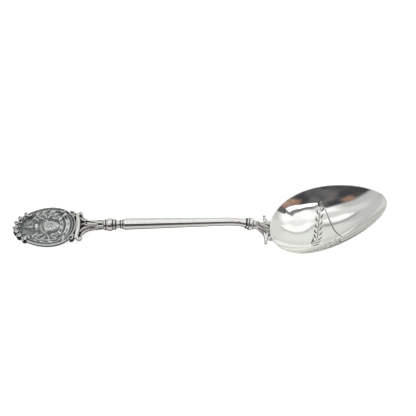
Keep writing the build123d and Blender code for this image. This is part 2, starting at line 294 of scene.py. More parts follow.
def piece(name, place, points, faces, nodes, finish, recess=None, hollow=0.0, normals=None):
    """A finished piece: a smooth mesh in the row frame, with how deep in a recess each point lies.

    It stands for the CAD nodes.
    recess gives that depth where the shape's own formula knows it; some pieces put painted shade in it
    instead, dark on their lower or outer sides. hollow adds the mesh's own hollows, and is the depth in
    millimetres that counts as a full recess. normals are the exact ones, where they are known.
    """
    mesh = bpy.data.meshes.new(name)
    world = carried(place, points) * MM
    mesh.from_pydata(world.tolist(), [], [tuple(int(i) for i in f) for f in faces])
    mesh.validate()
    mesh.update()
    count = len(mesh.vertices)
    level = np.zeros(count) if recess is None else np.array(recess, float)
    if hollow:
        edges = np.zeros(len(mesh.edges) * 2, int)
        mesh.edges.foreach_get("vertices", edges)
        normal = np.zeros(count * 3)
        mesh.vertices.foreach_get("normal", normal)
        normal, edges = normal.reshape(-1, 3), edges.reshape(-1, 2)
        for rounds, weight in HOLLOW_ROUNDS:
            drop = ((neighbour_mean(world, edges, rounds) - world) * normal).sum(-1) / (hollow * MM)
            level += weight * np.clip(drop, -1, 1)
    attribute = mesh.attributes.new("recess", "FLOAT", "POINT")
    attribute.data.foreach_set("value", np.clip(level, 0, 1).astype(np.float32))
    mesh.shade_smooth()
    if normals is not None:
        own = np.zeros(count * 3)
        mesh.vertices.foreach_get("normal", own)
        turned = np.asarray(normals) @ place[:, :3].T
        turned = np.where(np.isnan(turned), own.reshape(-1, 3), turned)
        mesh.normals_split_custom_set_from_vertices(turned.tolist())
    obj = placed(name, mesh)
    mesh.materials.append(SILVER[finish])
    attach(obj, "root")
    if nodes:
        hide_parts(*nodes)
    return obj


def lathe(stations, radius, turns=96, centre=None):
    """Points and faces of a closed turned form about X: radius(station, angle) may vary round the piece."""
    stations = np.asarray(stations, float)
    s, a = np.meshgrid(stations, around(turns), indexing="ij")
    r = radius(s, a) + 0 * s
    points = np.stack([s, r * np.sin(a), r * np.cos(a)], -1).reshape(-1, 3)
    if centre is not None:
        points = centre(points)
    faces = [tuple(f[::-1]) for f in grid_faces(len(stations), turns, ring=True)]
    first, last, end = len(points), len(points) + 1, len(points) - turns
    points = np.vstack([points, points[:turns].mean(0), points[-turns:].mean(0)])
    for i in range(turns):
        j = (i + 1) % turns
        faces.append((i, j, first))
        faces.append((end + j, end + i, last))
    return points, faces


def shoulders(start, end, radius, roundness):
    """Stations and a radius for a ring whose shoulders are quarter rounds."""
    roundness = min(roundness, (end - start) / 2)
    quarter = roundness * (1 - np.cos(np.linspace(0, math.pi / 2, 10)))
    middle = np.linspace(start + roundness, end - roundness, 6)[1:-1]
    stations = np.concatenate([start + quarter, middle, end - quarter[::-1]])

    def shape(s, _):
        d = np.clip(roundness - np.minimum(s - start, end - s), 0, roundness)
        return radius - roundness + np.sqrt(np.maximum(roundness**2 - d**2, 0))

    return stations, shape


def tube(path, wide, high=None, turns=14):
    """A closed swept tube: its section is an ellipse, wide across the path and high along the frame's up."""
    path = np.asarray(path, float)
    count = len(path)
    wide = np.broadcast_to(np.asarray(wide, float), count)
    high = wide if high is None else np.broadcast_to(np.asarray(high, float), count)
    tangent = unit(np.gradient(path, axis=0))
    side = unit(np.cross((0, 0, 1), tangent))
    up = np.cross(tangent, side)
    angles = around(turns)
    ring = side[:, None] * (np.cos(angles)[:, None] * wide[:, None, None])
    ring = ring + up[:, None] * (np.sin(angles)[:, None] * high[:, None, None])
    return (path[:, None] + ring).reshape(-1, 3), capped_faces(count, turns)


def ball(centre, radius, turns=16):
    """A closed ball."""
    angles = np.linspace(0.02, math.pi - 0.02, turns)
    path = np.stack([-np.cos(angles) * radius, 0 * angles, 0 * angles], -1)
    return tube(np.asarray(centre, float) + path, radius * np.sin(angles), turns=turns)


def slab(outline, bottom, top):
    """A flat plate with a given outline, between two heights."""
    outline = np.asarray(outline, float)
    count = len(outline)
    points = np.vstack([np.c_[outline, np.full(count, w)] for w in (bottom, top)])
    faces = [tuple(range(count))[::-1], tuple(range(count, 2 * count))]
    faces += [(i, (i + 1) % count, count + (i + 1) % count, count + i) for i in range(count)]
    return points, faces


def both_sides(solids):
    """Solids and their mirror images across the middle plane."""
    flipped = [(points * (1, -1, 1), [face[::-1] for face in faces]) for points, faces in solids]
    return list(solids) + flipped


def smooth_line(points, count=24):
    """A smooth curve through points of any dimension."""
    p = np.asarray(points, float)
    p = np.vstack([2 * p[0] - p[1], p, 2 * p[-1] - p[-2]])
    t = np.linspace(0, len(p) - 3 - 1e-9, count)
    i = t.astype(int)
    t = (t - i)[:, None]
    a, b, c, d = p[i], p[i + 1], p[i + 2], p[i + 3]
    return 0.5 * (2 * b + (c - a) * t + (2 * a - 5 * b + 4 * c - d) * t**2 + (3 * b - a - 3 * c + d) * t**3)


def spiral(centre, radius, start, turns, ending=0.25, count=40):
    """A flat spiral that winds in from a radius to a part of it. Angles in degrees; turns may be negative."""
    t = np.linspace(0, 1, count)
    angle = math.radians(start) + 2 * math.pi * turns * t
    r = radius * (1 - (1 - ending) * t)
    return np.stack([centre[0] + r * np.cos(angle), centre[1] + r * np.sin(angle)], -1)


def lifted(line, height):
    """A flat line at a height, which may vary along it."""
    return np.c_[line, np.broadcast_to(height, len(line))]


def fused(solids, grain, rounds):
    """Closed solids joined into one skin of quads, and smoothed."""
    points, faces, start = [], [], 0
    for p, f in solids:
        points.append(p)
        faces += [tuple(int(i) + start for i in face) for face in f]
        start += len(p)
    mesh = bpy.data.meshes.new("fused")
    mesh.from_pydata(np.vstack(points).tolist(), [], faces)
    obj = placed("fused", mesh)
    remesh = obj.modifiers.new("remesh", "REMESH")
    remesh.mode, remesh.voxel_size, remesh.adaptivity = "VOXEL", grain, 0.0
    skin = obj.evaluated_get(bpy.context.evaluated_depsgraph_get()).to_mesh()
    skin_points = np.zeros(len(skin.vertices) * 3)
    skin.vertices.foreach_get("co", skin_points)
    skin_points = skin_points.reshape(-1, 3)
    skin_faces = [tuple(f.vertices) for f in skin.polygons]
    edges = np.array([tuple(e.vertices) for e in skin.edges])
    bpy.data.objects.remove(obj)
    bpy.data.meshes.remove(mesh)
    return neighbour_mean(skin_points, edges, rounds), skin_faces


# ---- eggs: the outlines of the bowl and of the medallion ----
class Egg:
    """An egg on the X axis, and how far out between its centre and its edge a point lies."""

    def __init__(self, length, width, skew, start, centre=0.5):
        widest = (math.sqrt(1 + 8 * skew**2) - 1) / (4 * skew)
        self.size = length, width / (math.sqrt(1 - widest**2) * (1 + skew * widest))
        self.skew, self.start, self.centre = skew, start, start + centre * length
        edge = self.edge(np.linspace(-math.pi, math.pi, 1441)) - (self.centre, 0)
        turn = np.arctan2(edge[:, 1], edge[:, 0])
        order = np.argsort(turn)
        self.turn, self.reach = turn[order], np.hypot(*edge.T)[order]

    def edge(self, angle):
        """Points of the edge; the angle is 0 at the start."""
        x = self.start + self.size[0] / 2 * (1 - np.cos(angle))
        y = self.size[1] / 2 * np.sin(angle) * (1 + self.skew * np.cos(angle))
        return np.stack([x, y], -1)

    def share(self, x, y):
        """0 at the centre and 1 at the edge."""
        reach = np.interp(np.arctan2(y, x - self.centre), self.turn, self.reach, period=2 * math.pi)
        return np.hypot(x - self.centre, y) / reach

    def polar(self, shares, columns):
        """A grid of points over the egg: rows at shares of the way out, columns round it."""
        edge = self.edge(around(columns))
        centre = np.array([self.centre, 0])
        return (centre + np.asarray(shares)[:, None, None] * (edge - centre)).reshape(-1, 2)


# ---- bowl ----
LIP_WIDTH = 0.5
OUTSIDE = Egg(BOWL_LENGTH, BOWL_WIDTH, BOWL_SKEW, 0.0, BOWL_DEEPEST)
INSIDE = Egg(BOWL_LENGTH - 2 * LIP_WIDTH, BOWL_WIDTH - 2 * LIP_WIDTH, BOWL_SKEW, LIP_WIDTH, BOWL_DEEPEST)
GROOVE_DEPTH = 0.09
LEAF_PAIRS = 8
BRANCH_HALF_WIDTH, LEAF_HALF_WIDTH, SWEEP_HALF_WIDTH = 0.2, 0.36, 0.25
BOWL_COLUMNS, BOWL_INNER_ROWS, BOWL_OUTER_ROWS, LIP_ROWS = 256, 52, 56, 12
FINER_WITHIN = (0.7, 0.42, 0.15)  # how near a stroke the bowl's mesh is split once, twice and three times
LIP_DROP_INSIDE, LIP_DROP_OUTSIDE = 0.16, 0.12


def nearest(x, y, line):
    """How far points lie from a line, signed to its left, and how far along it, from 0 to 1."""
    line = np.asarray(line, float)
    steps = np.diff(line, axis=0)
    lengths = np.hypot(*steps.T)
    total = lengths.sum()
    best = np.full(np.shape(x), np.inf)
    side, along = best.copy(), np.zeros(np.shape(x))
    done = 0.0
    for start, step, length in zip(line, steps, lengths):
        if not length:
            continue
        dx, dy = x - start[0], y - start[1]
        t = np.clip((dx * step[0] + dy * step[1]) / length**2, 0, 1)
        far = np.hypot(dx - t * step[0], dy - t * step[1])
        closer = far < best
        best = np.where(closer, far, best)
        side = np.where(closer, np.where(step[0] * dy - step[1] * dx < 0, -far, far), side)
        along = np.where(closer, (done + t * length) / total, along)
        done += length
    return side, along


def engraving():
    """The flourish in the bowl, as (line, half width) strokes: a laurel branch and a long sweep."""
    branch = [(14.0, -8.0), (15.2, -6.6), (16.6, -3.2), (17.2, 1.2), (18.3, 6.0), (20.0, 10.4)]
    branch = smooth_line(branch, 72)
    strokes = [(branch, BRANCH_HALF_WIDTH)]
    for i in range(LEAF_PAIRS):
        for side, lag in ((-1, 0), (1, 4)):
            at = 6 + 8 * i + lag
            root = branch[at]
            ahead = unit(branch[at + 2] - root)
            across = np.array([-ahead[1], ahead[0]]) * side
            length = 3.1 - 0.16 * i
            tip = root + length * (0.8 * ahead + 0.6 * across)
            middle = (root + tip) / 2 + 0.35 * (0.8 * across - 0.6 * ahead)
            strokes.append((smooth_line([root + 0.25 * across, middle, tip], 14), LEAF_HALF_WIDTH))
    sweep = [(20.1, 10.8), (20.9, 7.6), (21.8, 3.6), (22.9, -0.8), (24.8, -4.8), (26.8, -7.4), (28.2, -8.4)]
    strokes.append((smooth_line(sweep, 48), SWEEP_HALF_WIDTH))
    return strokes


STROKES = engraving()


def groove(x, y):
    """The engraving's depth at points of the bowl's plan, and how near the closest stroke is."""
    depth, near = np.zeros(np.shape(x)), np.full(np.shape(x), np.inf)
    for line, half_width in STROKES:
        low, high = line.min(0) - 1.5, line.max(0) + 1.5
        inside = (x > low[0]) & (x < high[0]) & (y > low[1]) & (y < high[1])
        if not inside.any():
            continue
        side, along = nearest(x[inside], y[inside], line)
        swell = 0.3 + 0.7 * np.sin(math.pi * np.clip(along, 0.02, 0.98)) ** 0.7
        cut = np.clip(1 - np.abs(side) / (half_width * swell), 0, 1)
        depth[inside] = np.maximum(depth[inside], GROOVE_DEPTH * swell * cut * (2 - cut))
        near[inside] = np.minimum(near[inside], np.abs(side))
    return depth, near


def bowl_height(egg, depth, x, y):
    """The bowl's surface over its plan."""
    return -depth * (1 - egg.share(x, y) ** BOWL_POWER)


def inner_height(x, y):
    return bowl_height(INSIDE, BOWL_DEPTH - BOWL_THICK, x, y) - groove(x, y)[0]


def outer_height(x, y):
    return bowl_height(OUTSIDE, BOWL_DEPTH, x, y)


def share_at(drop, depth):
    """How far out the bowl's surface is a given drop under its rim."""
    return (1 - drop / depth) ** (1 / BOWL_POWER)


def bowl_inside():
    """The bowl's inside, refined near the engraving: plan points, faces and the ring of points at the lip."""
    lip = share_at(LIP_DROP_INSIDE, BOWL_DEPTH - BOWL_THICK)
    shares = np.r_[0.004, np.linspace(0.02, lip, BOWL_INNER_ROWS)]
    mesh = bmesh.new()
    points = [mesh.verts.new((x, y, 0)) for x, y in INSIDE.polar(shares, BOWL_COLUMNS)]
    for quad in grid_faces(len(shares), BOWL_COLUMNS, ring=True):
        mesh.faces.new([points[i] for i in quad])
    mesh.faces.new(points[:BOWL_COLUMNS][::-1])
    for reach in FINER_WITHIN:
        mesh.verts.index_update()
        plan = np.array([v.co[:2] for v in mesh.verts])
        near = groove(*plan.T)[1] < reach
        edges = [e for e in mesh.edges if near[e.verts[0].index] or near[e.verts[1].index]]
        bmesh.ops.subdivide_edges(mesh, edges=edges, cuts=1, use_grid_fill=True)
    mesh.verts.index_update()
    plan = np.array([v.co[:2] for v in mesh.verts])
    faces = [tuple(v.index for v in f.verts) for f in mesh.faces]
    mesh.free()
    rim = np.flatnonzero(INSIDE.share(*plan.T) > lip - 1e-4)
    turn = np.arctan2(plan[rim, 1], INSIDE.centre - plan[rim, 0]) % (2 * math.pi)
    return plan, faces, rim[np.argsort(turn)].tolist()


def exact_normals(height, x, y):
    """Upward normals of a surface from its height over its plan, so that it mirrors cleanly."""
    eps = 0.012
    along = (height(x + eps, y) - height(x - eps, y)) / (2 * eps)
    across = (height(x, y + eps) - height(x, y - eps)) / (2 * eps)
    return unit(np.stack([-along, -across, np.ones(len(x))], -1))


def make_bowl():
    """The bowl: a polished shell with a rounded lip, and an engraved flourish inside."""
    columns = BOWL_COLUMNS
    plan, faces, rim = bowl_inside()
    x, y = plan.T
    inner = np.c_[plan, inner_height(x, y)]
    outer_shares = np.linspace(share_at(LIP_DROP_OUTSIDE, BOWL_DEPTH), 0.02, BOWL_OUTER_ROWS)
    outer_plan = OUTSIDE.polar(outer_shares, columns)
    outer = np.c_[outer_plan, outer_height(*outer_plan.T)]
    middle, half = (inner[rim] + outer[:columns]) / 2, (inner[rim] - outer[:columns]) / 2
    crown = (LIP_DROP_INSIDE + LIP_DROP_OUTSIDE) / 2
    lip = [
        middle + half * math.cos(angle) + np.array([0, 0, crown * math.sin(angle)])
        for angle in np.linspace(0, math.pi, LIP_ROWS)[1:-1]
    ]
    shell = np.vstack(lip + [outer])
    rows = [rim] + [list(len(inner) + r) for r in np.arange(len(shell)).reshape(-1, columns)]
    for upper, under in zip(rows, rows[1:]):
        ahead = [(i - columns + 1, i) for i in range(columns)]
        faces += [(upper[i], upper[j], under[j], under[i]) for j, i in ahead]
    faces.append(tuple(rows[-1]))
    points = np.vstack([inner, shell])
    normals = np.full((len(points), 3), np.nan)
    normals[: len(inner)] = exact_normals(inner_height, x, y)
    normals[-len(outer):] = -exact_normals(outer_height, *outer_plan.T)
    recess = np.r_[1.7 * groove(x, y)[0] / GROOVE_DEPTH, np.zeros(len(shell))]
    piece("bowl_shell", BOWL, points, faces, ["bowl"], "bowl_silver", recess, normals=normals)


# ---- relief on the medallion: heights over its field, from plan points in the handle's frame ----
SINK = 0.08
MEDALLION = Egg(EGG_LENGTH, EGG_WIDTH, EGG_SKEW, EGG_START)
EGG_EDGE = MEDALLION.edge(np.linspace(0, 2 * math.pi, 361))


def dome(side, radius, rise):
    """A rounded ridge's height over its edge."""
    return rise * (1 - (side / radius) ** 2)


def highest(*heights):
    return np.maximum.reduce(heights)


def leaf(s, y, line, half_width, rise, lobes=0):
    """A pointed leaf along a line, with a vein down its middle and lobed edges."""
    side, t = nearest(s, y, line)
    swell = np.sin(math.pi * np.clip(t, 0.03, 0.985) ** 0.7) ** 0.8
    if lobes:
        swell = swell * (0.78 + 0.3 * np.abs(np.sin(lobes * math.pi * t)))
    height = dome(side, half_width * swell, rise * (0.65 + 0.35 * np.sin(math.pi * t)))
    vein = np.exp(-((side / 0.09) ** 2))
    return np.maximum(height, -0.5) - 0.35 * rise * vein * (height > 0) * (t < 0.93)


def stroke(s, y, line, radius, rise):
    """A round cord along a line."""
    side, _ = nearest(s, y, line)
    return np.maximum(dome(side, radius, rise), -0.5)


def pellet(s, y, centre, radius, rise):
    return np.maximum(dome(np.hypot(s - centre[0], y - centre[1]), radius, rise), -0.5)


def arc_points(a, middle, b, count=16):
    """Points of the arc from a to b through a middle point."""
    (ax, ay), (mx, my), (bx, by) = a, middle, b
    d = 2 * (ax * (my - by) + mx * (by - ay) + bx * (ay - my))
    sa, sm, sb = ax**2 + ay**2, mx**2 + my**2, bx**2 + by**2
    cx = (sa * (my - by) + sm * (by - ay) + sb * (ay - my)) / d
    cy = (sa * (bx - mx) + sm * (ax - bx) + sb * (mx - ax)) / d
    first, mid, last = (math.atan2(p[1] - cy, p[0] - cx) for p in (a, middle, b))
    sweep = (last - first) % (2 * math.pi)
    if (mid - first) % (2 * math.pi) > sweep:
        sweep -= 2 * math.pi
    angle = first + sweep * np.linspace(0, 1, count)
    radius = math.hypot(ax - cx, ay - cy)
    return np.stack([cx + radius * np.cos(angle), cy + radius * np.sin(angle)], -1)


def depth_within(s, y, outline):
    """How deep inside a closed outline points lie; less than 0 outside."""
    closed = np.vstack([outline, outline[:1]])
    side, _ = nearest(s, y, closed)
    crossed = np.zeros(np.shape(s), bool)
    for a, b in zip(closed, closed[1:]):
        if a[1] != b[1]:
            at = a[0] + (y - a[1]) / (b[1] - a[1]) * (b[0] - a[0])
            crossed ^= ((a[1] > y) != (b[1] > y)) & (s < at)
    return np.where(crossed, np.abs(side), -np.abs(side))


def smooth_step(value, low, high):
    t = np.clip((value - low) / (high - low), 0, 1)
    return t * t * (3 - 2 * t)


def shield_height(s, y):
    """A plain bossed shield: a domed panel with a fine line inside its edge and a few low pellets."""
    side = arc_points((12.7, 2.3), (15.6, 2.05), (18.2, 0.0))
    top = arc_points((12.7, -2.3), (11.6, 0.0), (12.7, 2.3), 16)
    outline = np.vstack([side, (side * (1, -1))[::-1], top])
    inside = depth_within(s, y, outline)
    wall = smooth_step(inside, -0.1, 0.35) * 0.9 - 0.1 + 0.2 * smooth_step(inside, 0.3, 2.4)
    wall += 0.035 * np.sin(7.3 * s + 2 * np.sin(2.9 * y)) * np.sin(6.9 * y + np.sin(3.7 * s))
    line = 0.13 * np.exp(-(((inside - 0.48) / 0.1) ** 2))
    spots = [(13.3, 1.2), (13.3, -1.2), (14.5, 0.0), (15.4, 1.1), (15.4, -1.1), (16.5, 0.0)]
    dots = highest(*(pellet(s, y, c, 0.3, 0.11) for c in spots))
    return wall - line + np.maximum(dots, 0) * smooth_step(inside, 0.3, 0.6)


def coronet_height(s, y):
    """A plain crest: a wreath round the shield's top, a bright cap over it, and a leaf on a long stalk."""
    wreath = arc_points((12.6, -2.9), (10.7, 0.0), (12.6, 2.9), 24)
    side, along = nearest(s, y, wreath)
    twist = 1 + 0.25 * np.sin(along * 9 * 2 * math.pi + side * 5)
    band = np.maximum(dome(side, 0.62, 0.62 * twist), -0.5)
    cap_outline = [(9.9, -1.15), (9.9, 1.15), (9.2, 1.5), (8.3, 1.25), (8.0, 0.0), (8.3, -1.25), (9.2, -1.5)]
    cap = depth_within(s, y, np.array(cap_outline))
    ribs = 0.07 * np.cos(y * 2 * math.pi / 0.8) * smooth_step(cap, 0.1, 0.5)
    cap_height = 0.95 * smooth_step(cap, -0.08, 0.55) + ribs - 0.06
    finial = leaf(s, y, [(8.1, 0), (6.6, 0), (4.9, 0)], 0.95, 0.8)
    stalk = stroke(s, y, [(5.4, 0), (2.9, 0)], 0.28, 0.42)
    balls = highest(*(pellet(s, y, (7.6, k * 1.5), 0.45, 0.65) for k in (-1, 1)))
    return highest(band, cap_height, finial, stalk, balls)


def spray_height(s, y, variant):
    """One side's spray: a long stem with curling leaves, towards the shield and out to the border."""
    y = y * variant
    stem_line = smooth_line([(7.4, 3.4), (8.6, 5.0), (10.6, 5.9), (13.4, 6.2), (17.0, 5.9)], 30)
    parts = [stroke(s, y, stem_line, 0.26, 0.45)]
    inward = [
        ([(7.6, 4.6), (8.6, 3.7), (10.0, 3.3)], 0.6, 0.6),
        ([(9.0, 5.6), (9.9, 4.4), (11.9, 3.4)], 0.68, 0.85),
        ([(10.6, 6.0), (12.2, 5.2), (12.5, 3.9)], 0.6, 0.7),
        ([(14.3, 6.3), (13.9, 5.0), (12.9, 3.6)], 0.62, 0.85),
        ([(14.2, 4.9), (15.6, 5.2), (17.2, 6.0)], 0.55, 0.9),
        ([(14.4, 4.5), (15.6, 3.7), (16.7, 3.9)], 0.5, 0.7),
    ]
    outward = [
        ([(8.9, 5.3), (8.8, 6.2), (10.0, 7.0)], 0.48, 0.5),
        ([(10.9, 5.9), (11.2, 6.9), (12.7, 7.4)], 0.52, 0.55),
        ([(13.5, 6.1), (14.4, 7.0), (15.9, 7.1)], 0.5, 0.55),
    ]
    for line, half_width, rise in inward + outward:
        parts.append(leaf(s, y, smooth_line(line, 14), half_width, rise, 3))
    for line in (spiral((9.5, 2.9), 0.55, 80, 0.9), spiral((16.9, 4.5), 0.5, 200, -0.9)):
        parts.append(stroke(s, y, line, 0.2, 0.5))
    for centre in ((10.3, 4.9), (12.1, 6.0), (15.2, 6.1), (13.4, 4.5), (7.9, 5.0)):
        parts.append(pellet(s, y, centre, 0.34, 0.7))
    return highest(*parts)


def ribbon_height(s, y, radius, width, half_angle, rise, tail):
    """A blank curved ribbon with raised edges, and ends that roll back into tails."""
    middle = 13.3
    out = np.hypot(s - middle, y) - radius
    angle = np.degrees(np.arctan2(y, s - middle))
    across = width / 2 - np.abs(out)
    along = np.radians(half_angle - np.abs(angle)) * radius
    inside = np.minimum(across, along)
    wave = 0.09 * np.cos(np.radians(angle) * 4.0)
    band = (rise + wave) * smooth_step(inside, -0.06, 0.16) - 0.06
    folds = 0.02 * np.sin(np.radians(angle) * radius * 2.3 + 1.1 * out)
    groove_line = (0.15 + folds) * smooth_step(across, 0.2, 0.32) * smooth_step(along, 0.2, 0.4)
    ends = []
    for turn in (-1, 1):
        a = math.radians(half_angle) * turn
        end = np.array([middle + radius * math.cos(a), radius * math.sin(a)])
        ray = np.array([math.cos(a), math.sin(a)])
        roll = [end - ray * (width / 2 + 0.08), end + ray * (width / 2 + 0.08)]
        ends.append(stroke(s, y, roll, 0.3, rise + 0.16))
        if tail:
            heading = np.array([-0.62, -0.78 * turn])
            start = end + np.array([0.15, 1.15 * turn])
            strip_line = smooth_line([start, start + heading * tail * 0.5, start + heading * tail], 10)
            side, t = nearest(s, y, strip_line)
            strip = (rise + 0.1 * np.sin(math.pi * 3 * t)) * smooth_step(0.52 - np.abs(side), -0.05, 0.15)
            ends.append(strip - 0.06 - 0.14 * smooth_step(0.3 - np.abs(side), 0.0, 0.1))
    return highest(band - groove_line, *ends)


RELIEFS = {
    "shield": shield_height,
    "coronet": coronet_height,
    "leaf_spray_left": lambda s, y: spray_height(s, y, 1),
    "leaf_spray_right": lambda s, y: spray_height(s, y, -1),
    "inner_ribbon": lambda s, y: ribbon_height(s, y, 5.3, 1.4, 45, 0.6, 0),
    "outer_ribbon": lambda s, y: ribbon_height(s, y, 7.6, 1.65, 35, 0.75, 3.4),
}


def rim_profile(inset):
    """The border's height over the field, by how far in from its edge: two beads and a hollow."""
    outer = dome(inset - 0.3, 0.36, 0.9)
    inner = dome(inset - 1.22, 0.26, 0.72)
    hollow = 0.42 * smooth_step(inset, -0.1, 0.2) * (1 - smooth_step(inset, 1.25, 1.5))
    return highest(outer, inner, hollow)


def egg_inset(s, y):
    """How far inside the medallion's edge points lie."""
    side, _ = nearest(s, y, EGG_EDGE)
    return np.where(MEDALLION.share(s, y) < 1, np.abs(side), -np.abs(side))


class Cavity:
    """How sunk each place of the medallion is below its surroundings: it darkens the foot of the relief,
    partly for the oxide left in the hollows and partly as painted shade, like ambient occlusion.
    """

    step = 0.12

    def __init__(self):
        self.s = np.arange(-1, 25, self.step)
        self.y = np.arange(-10, 10, self.step)
        s, y = np.meshgrid(self.s, self.y, indexing="ij")
        inset = egg_inset(s, y)
        top = np.where(inset > 0, np.maximum(rim_profile(inset), 0), 0)
        for height in RELIEFS.values():
            top = np.maximum(top, height(s, y))
        self.near, self.wide = self.blurred(top, 3), self.blurred(top, 9)

    def blurred(self, values, reach):
        """Values with each taken as a mean round it, over a reach in steps."""
        kernel = np.exp(-(np.arange(-2 * reach, 2 * reach + 1) ** 2) / (reach**2))
        kernel /= kernel.sum()
        for axis in (0, 1):
            values = np.apply_along_axis(lambda row: np.convolve(row, kernel, "same"), axis, values)
        return values

    def recess(self, s, y, height):
        """From 0 on a high place to 1 in a sunk one."""
        i = np.clip(((s - self.s[0]) / self.step).astype(int), 0, len(self.s) - 1)
        j = np.clip(((y - self.y[0]) / self.step).astype(int), 0, len(self.y) - 1)
        # Painted shade round the foot of the relief, like ambient occlusion, as well as the oxide in its
        # hollows.
        sunk = 2.2 * (self.near[i, j] - height) + 1.2 * (self.wide[i, j] - height)
        return np.clip(0.42 + sunk, 0, 1)


CAVITY = Cavity()


def filled_corners(keep):
    """Cells that meet only at a corner get a third cell, so that an island's edge never touches itself."""
    while True:
        a, b, c, d = keep[:-1, :-1], keep[1:, :-1], keep[:-1, 1:], keep[1:, 1:]
        falling, rising = a & d & ~b & ~c, b & c & ~a & ~d
        if not (falling | rising).any():
            return keep
        keep[1:, :-1] |= falling
        keep[:-1, :-1] |= rising


DULLED = {"shield": 0.12, "inner_ribbon": 0.2, "outer_ribbon": 0.2}  # more oxide left on these
RELIEF_STEP = 0.085
RELIEF_REACH = (2.0, 2.6)  # how far past its CAD solid a device is looked for, along and across


def make_relief(name):
    """A raised device as an island of the field: its top follows its height, its foot is in the plate."""
    corners = (np.array(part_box(name)) / MM - HANDLE[:, 3]) @ np.linalg.inv(HANDLE[:, :3]).T
    axes = [
        np.arange(corners[:, k].min() - reach, corners[:, k].max() + reach, RELIEF_STEP)
        for k, reach in enumerate(RELIEF_REACH)
    ]
    s, y = np.meshgrid(*axes, indexing="ij")
    height = np.where(egg_inset(s, y) > RIM_WIDTH - 0.25, RELIEFS[name](s, y), -1)
    above = height > 0
    keep = filled_corners(above[:-1, :-1] | above[1:, :-1] | above[:-1, 1:] | above[1:, 1:])
    cells = grid_faces(*s.shape)[keep.ravel()]
    used = np.unique(cells)
    number = np.full(s.size, -1)
    number[used] = np.arange(len(used))
    tops = number[cells]
    s, y, height = (v.ravel()[used] for v in (s, y, height))
    top = PLATE_THICK + np.clip(height, -SINK, CURL_TOP - PLATE_THICK)
    points = np.vstack([np.c_[s, y, top], np.c_[s, y, np.full(len(s), PLATE_THICK - 3 * SINK)]])
    faces = [tuple(f[::-1]) for f in tops] + [tuple(f + len(s)) for f in tops]
    one_way = {(f[i], f[(i + 1) % 4]) for f in tops.tolist() for i in range(4)}
    faces += [(b, a, a + len(s), b + len(s))[::-1] for a, b in one_way if (b, a) not in one_way]
    recess = np.tile(CAVITY.recess(s, y, height), 2) + DULLED.get(name, 0)
    piece(name + "_relief", HANDLE, points, faces, [name], "relief_silver", recess, 0.16)


def make_plate():
    """The backing plate: its field, a rounded edge, a back with a sunk panel, and the bracket's tang."""
    columns, field_rows, edge_rows = 240, 70, 10
    rows = [(share, PLATE_THICK) for share in np.linspace(0.004, 0.93, field_rows)]
    for a in np.linspace(0.1, math.pi - 0.1, edge_rows):
        rows.append((0.985 - 0.4 * (1 - math.sin(a)) / 9, PLATE_THICK / 2 * (1 + math.cos(a))))
    rows += [(share, 0.22 * smooth_step(0.9 - share, 0.0, 0.05)) for share in np.linspace(0.955, 0.004, 60)]
    shares, heights = zip(*rows)
    plan = MEDALLION.polar(shares, columns)
    heights = np.repeat(heights, columns)
    on_field = heights > PLATE_THICK - 0.01
    s, y = plan.T
    stipple = np.sin(6.9 * s + 2 * np.sin(3.1 * y)) * np.sin(6.3 * y + 1.7 * np.sin(2.7 * s))
    points = np.c_[plan, heights + 0.03 * stipple * on_field]
    faces = capped_faces(len(rows), columns)
    recess = np.where(on_field, CAVITY.recess(s, y, 0 * heights), 0.3)
    # Painted shade: the plate's rounded edge is set dark, as a dark outline round the medallion.
    recess[field_rows * columns : (field_rows + edge_rows) * columns] = 0.75
    tang = slab([(20.5, -2.0), (25.2, -2.0), (25.2, 2.0), (20.5, 2.0)], 0.0, 0.7)
    faces += [tuple(i + len(points) for i in f) for f in tang[1]]
    points = np.vstack([points, tang[0]])
    recess = np.r_[recess, np.full(len(tang[0]), 0.4)]
    piece("plate_with_field", HANDLE, points, faces, ["medallion_plate"], "field_silver", recess)


def make_rim():
    """The raised border: its section, with a skirt down the plate's edge, swept round the egg."""
    columns = 420
    insets = np.r_[np.linspace(0, 0.06, 3), np.linspace(0.1, RIM_WIDTH, 34)]
    heights = PLATE_THICK + np.clip(rim_profile(insets), 0.02, None)
    heights[0] = PLATE_THICK + 0.3
    foot = PLATE_THICK - 0.1
    skirt = [(0.3, 0.05), (0.1, 0.08), (0.0, 0.4), (0.0, PLATE_THICK)]
    section = np.r_[skirt, np.c_[insets, heights], [(RIM_WIDTH, foot), (0.45, foot)]]
    edge = MEDALLION.edge(around(columns))
    ahead = unit(np.roll(edge, -1, axis=0) - np.roll(edge, 1, axis=0))
    inward = np.stack([ahead[:, 1], -ahead[:, 0]], -1)
    points = np.vstack([np.c_[edge + inward * inset, np.full(columns, height)] for inset, height in section])
    faces = [tuple(f[::-1]) for f in grid_faces(len(section), columns, ring=True)]
    last = (len(section) - 1) * columns
    for i in range(columns):
        j = (i + 1) % columns
        faces.append((last + i, last + j, j, i)[::-1])
    recess = CAVITY.recess(points[:, 0], points[:, 1], points[:, 2] - PLATE_THICK)
    # Painted shade: the border's outer wall and skirt are set dark, as a dark outline round the medallion.
    outer_wall_shade = 4 * (1 - smooth_step(section[:, 1], 0.8, 1.3)) * (section[:, 0] < 0.35)
    bead_top = 0.4 * (section[:, 1] > PLATE_THICK) * (section[:, 0] < 0.55)
    recess += np.repeat(outer_wall_shade - bead_top, columns)
    piece("rim_moulding", HANDLE, points, faces, ["medallion_rim"], "relief_silver", recess, 0.12)


def curl(centre, radius, start, turns, thick, height):
    """A small rolled curl with a bead in its eye, standing on the medallion's edge."""
    line = spiral(centre, radius - thick, start, turns, 0.3, 28)
    t = np.linspace(0, 1, 28)
    return [
        tube(lifted(line, height - thick * 0.9 - 0.15 * (1 - t)), thick * (1 - 0.35 * t), thick),
        ball((*centre, height - 0.38), radius * 0.34),
        slab(spiral(centre, radius * 0.8, 0, 1, 1.0, 25)[:-1], 0.2, height - 0.75),
    ]


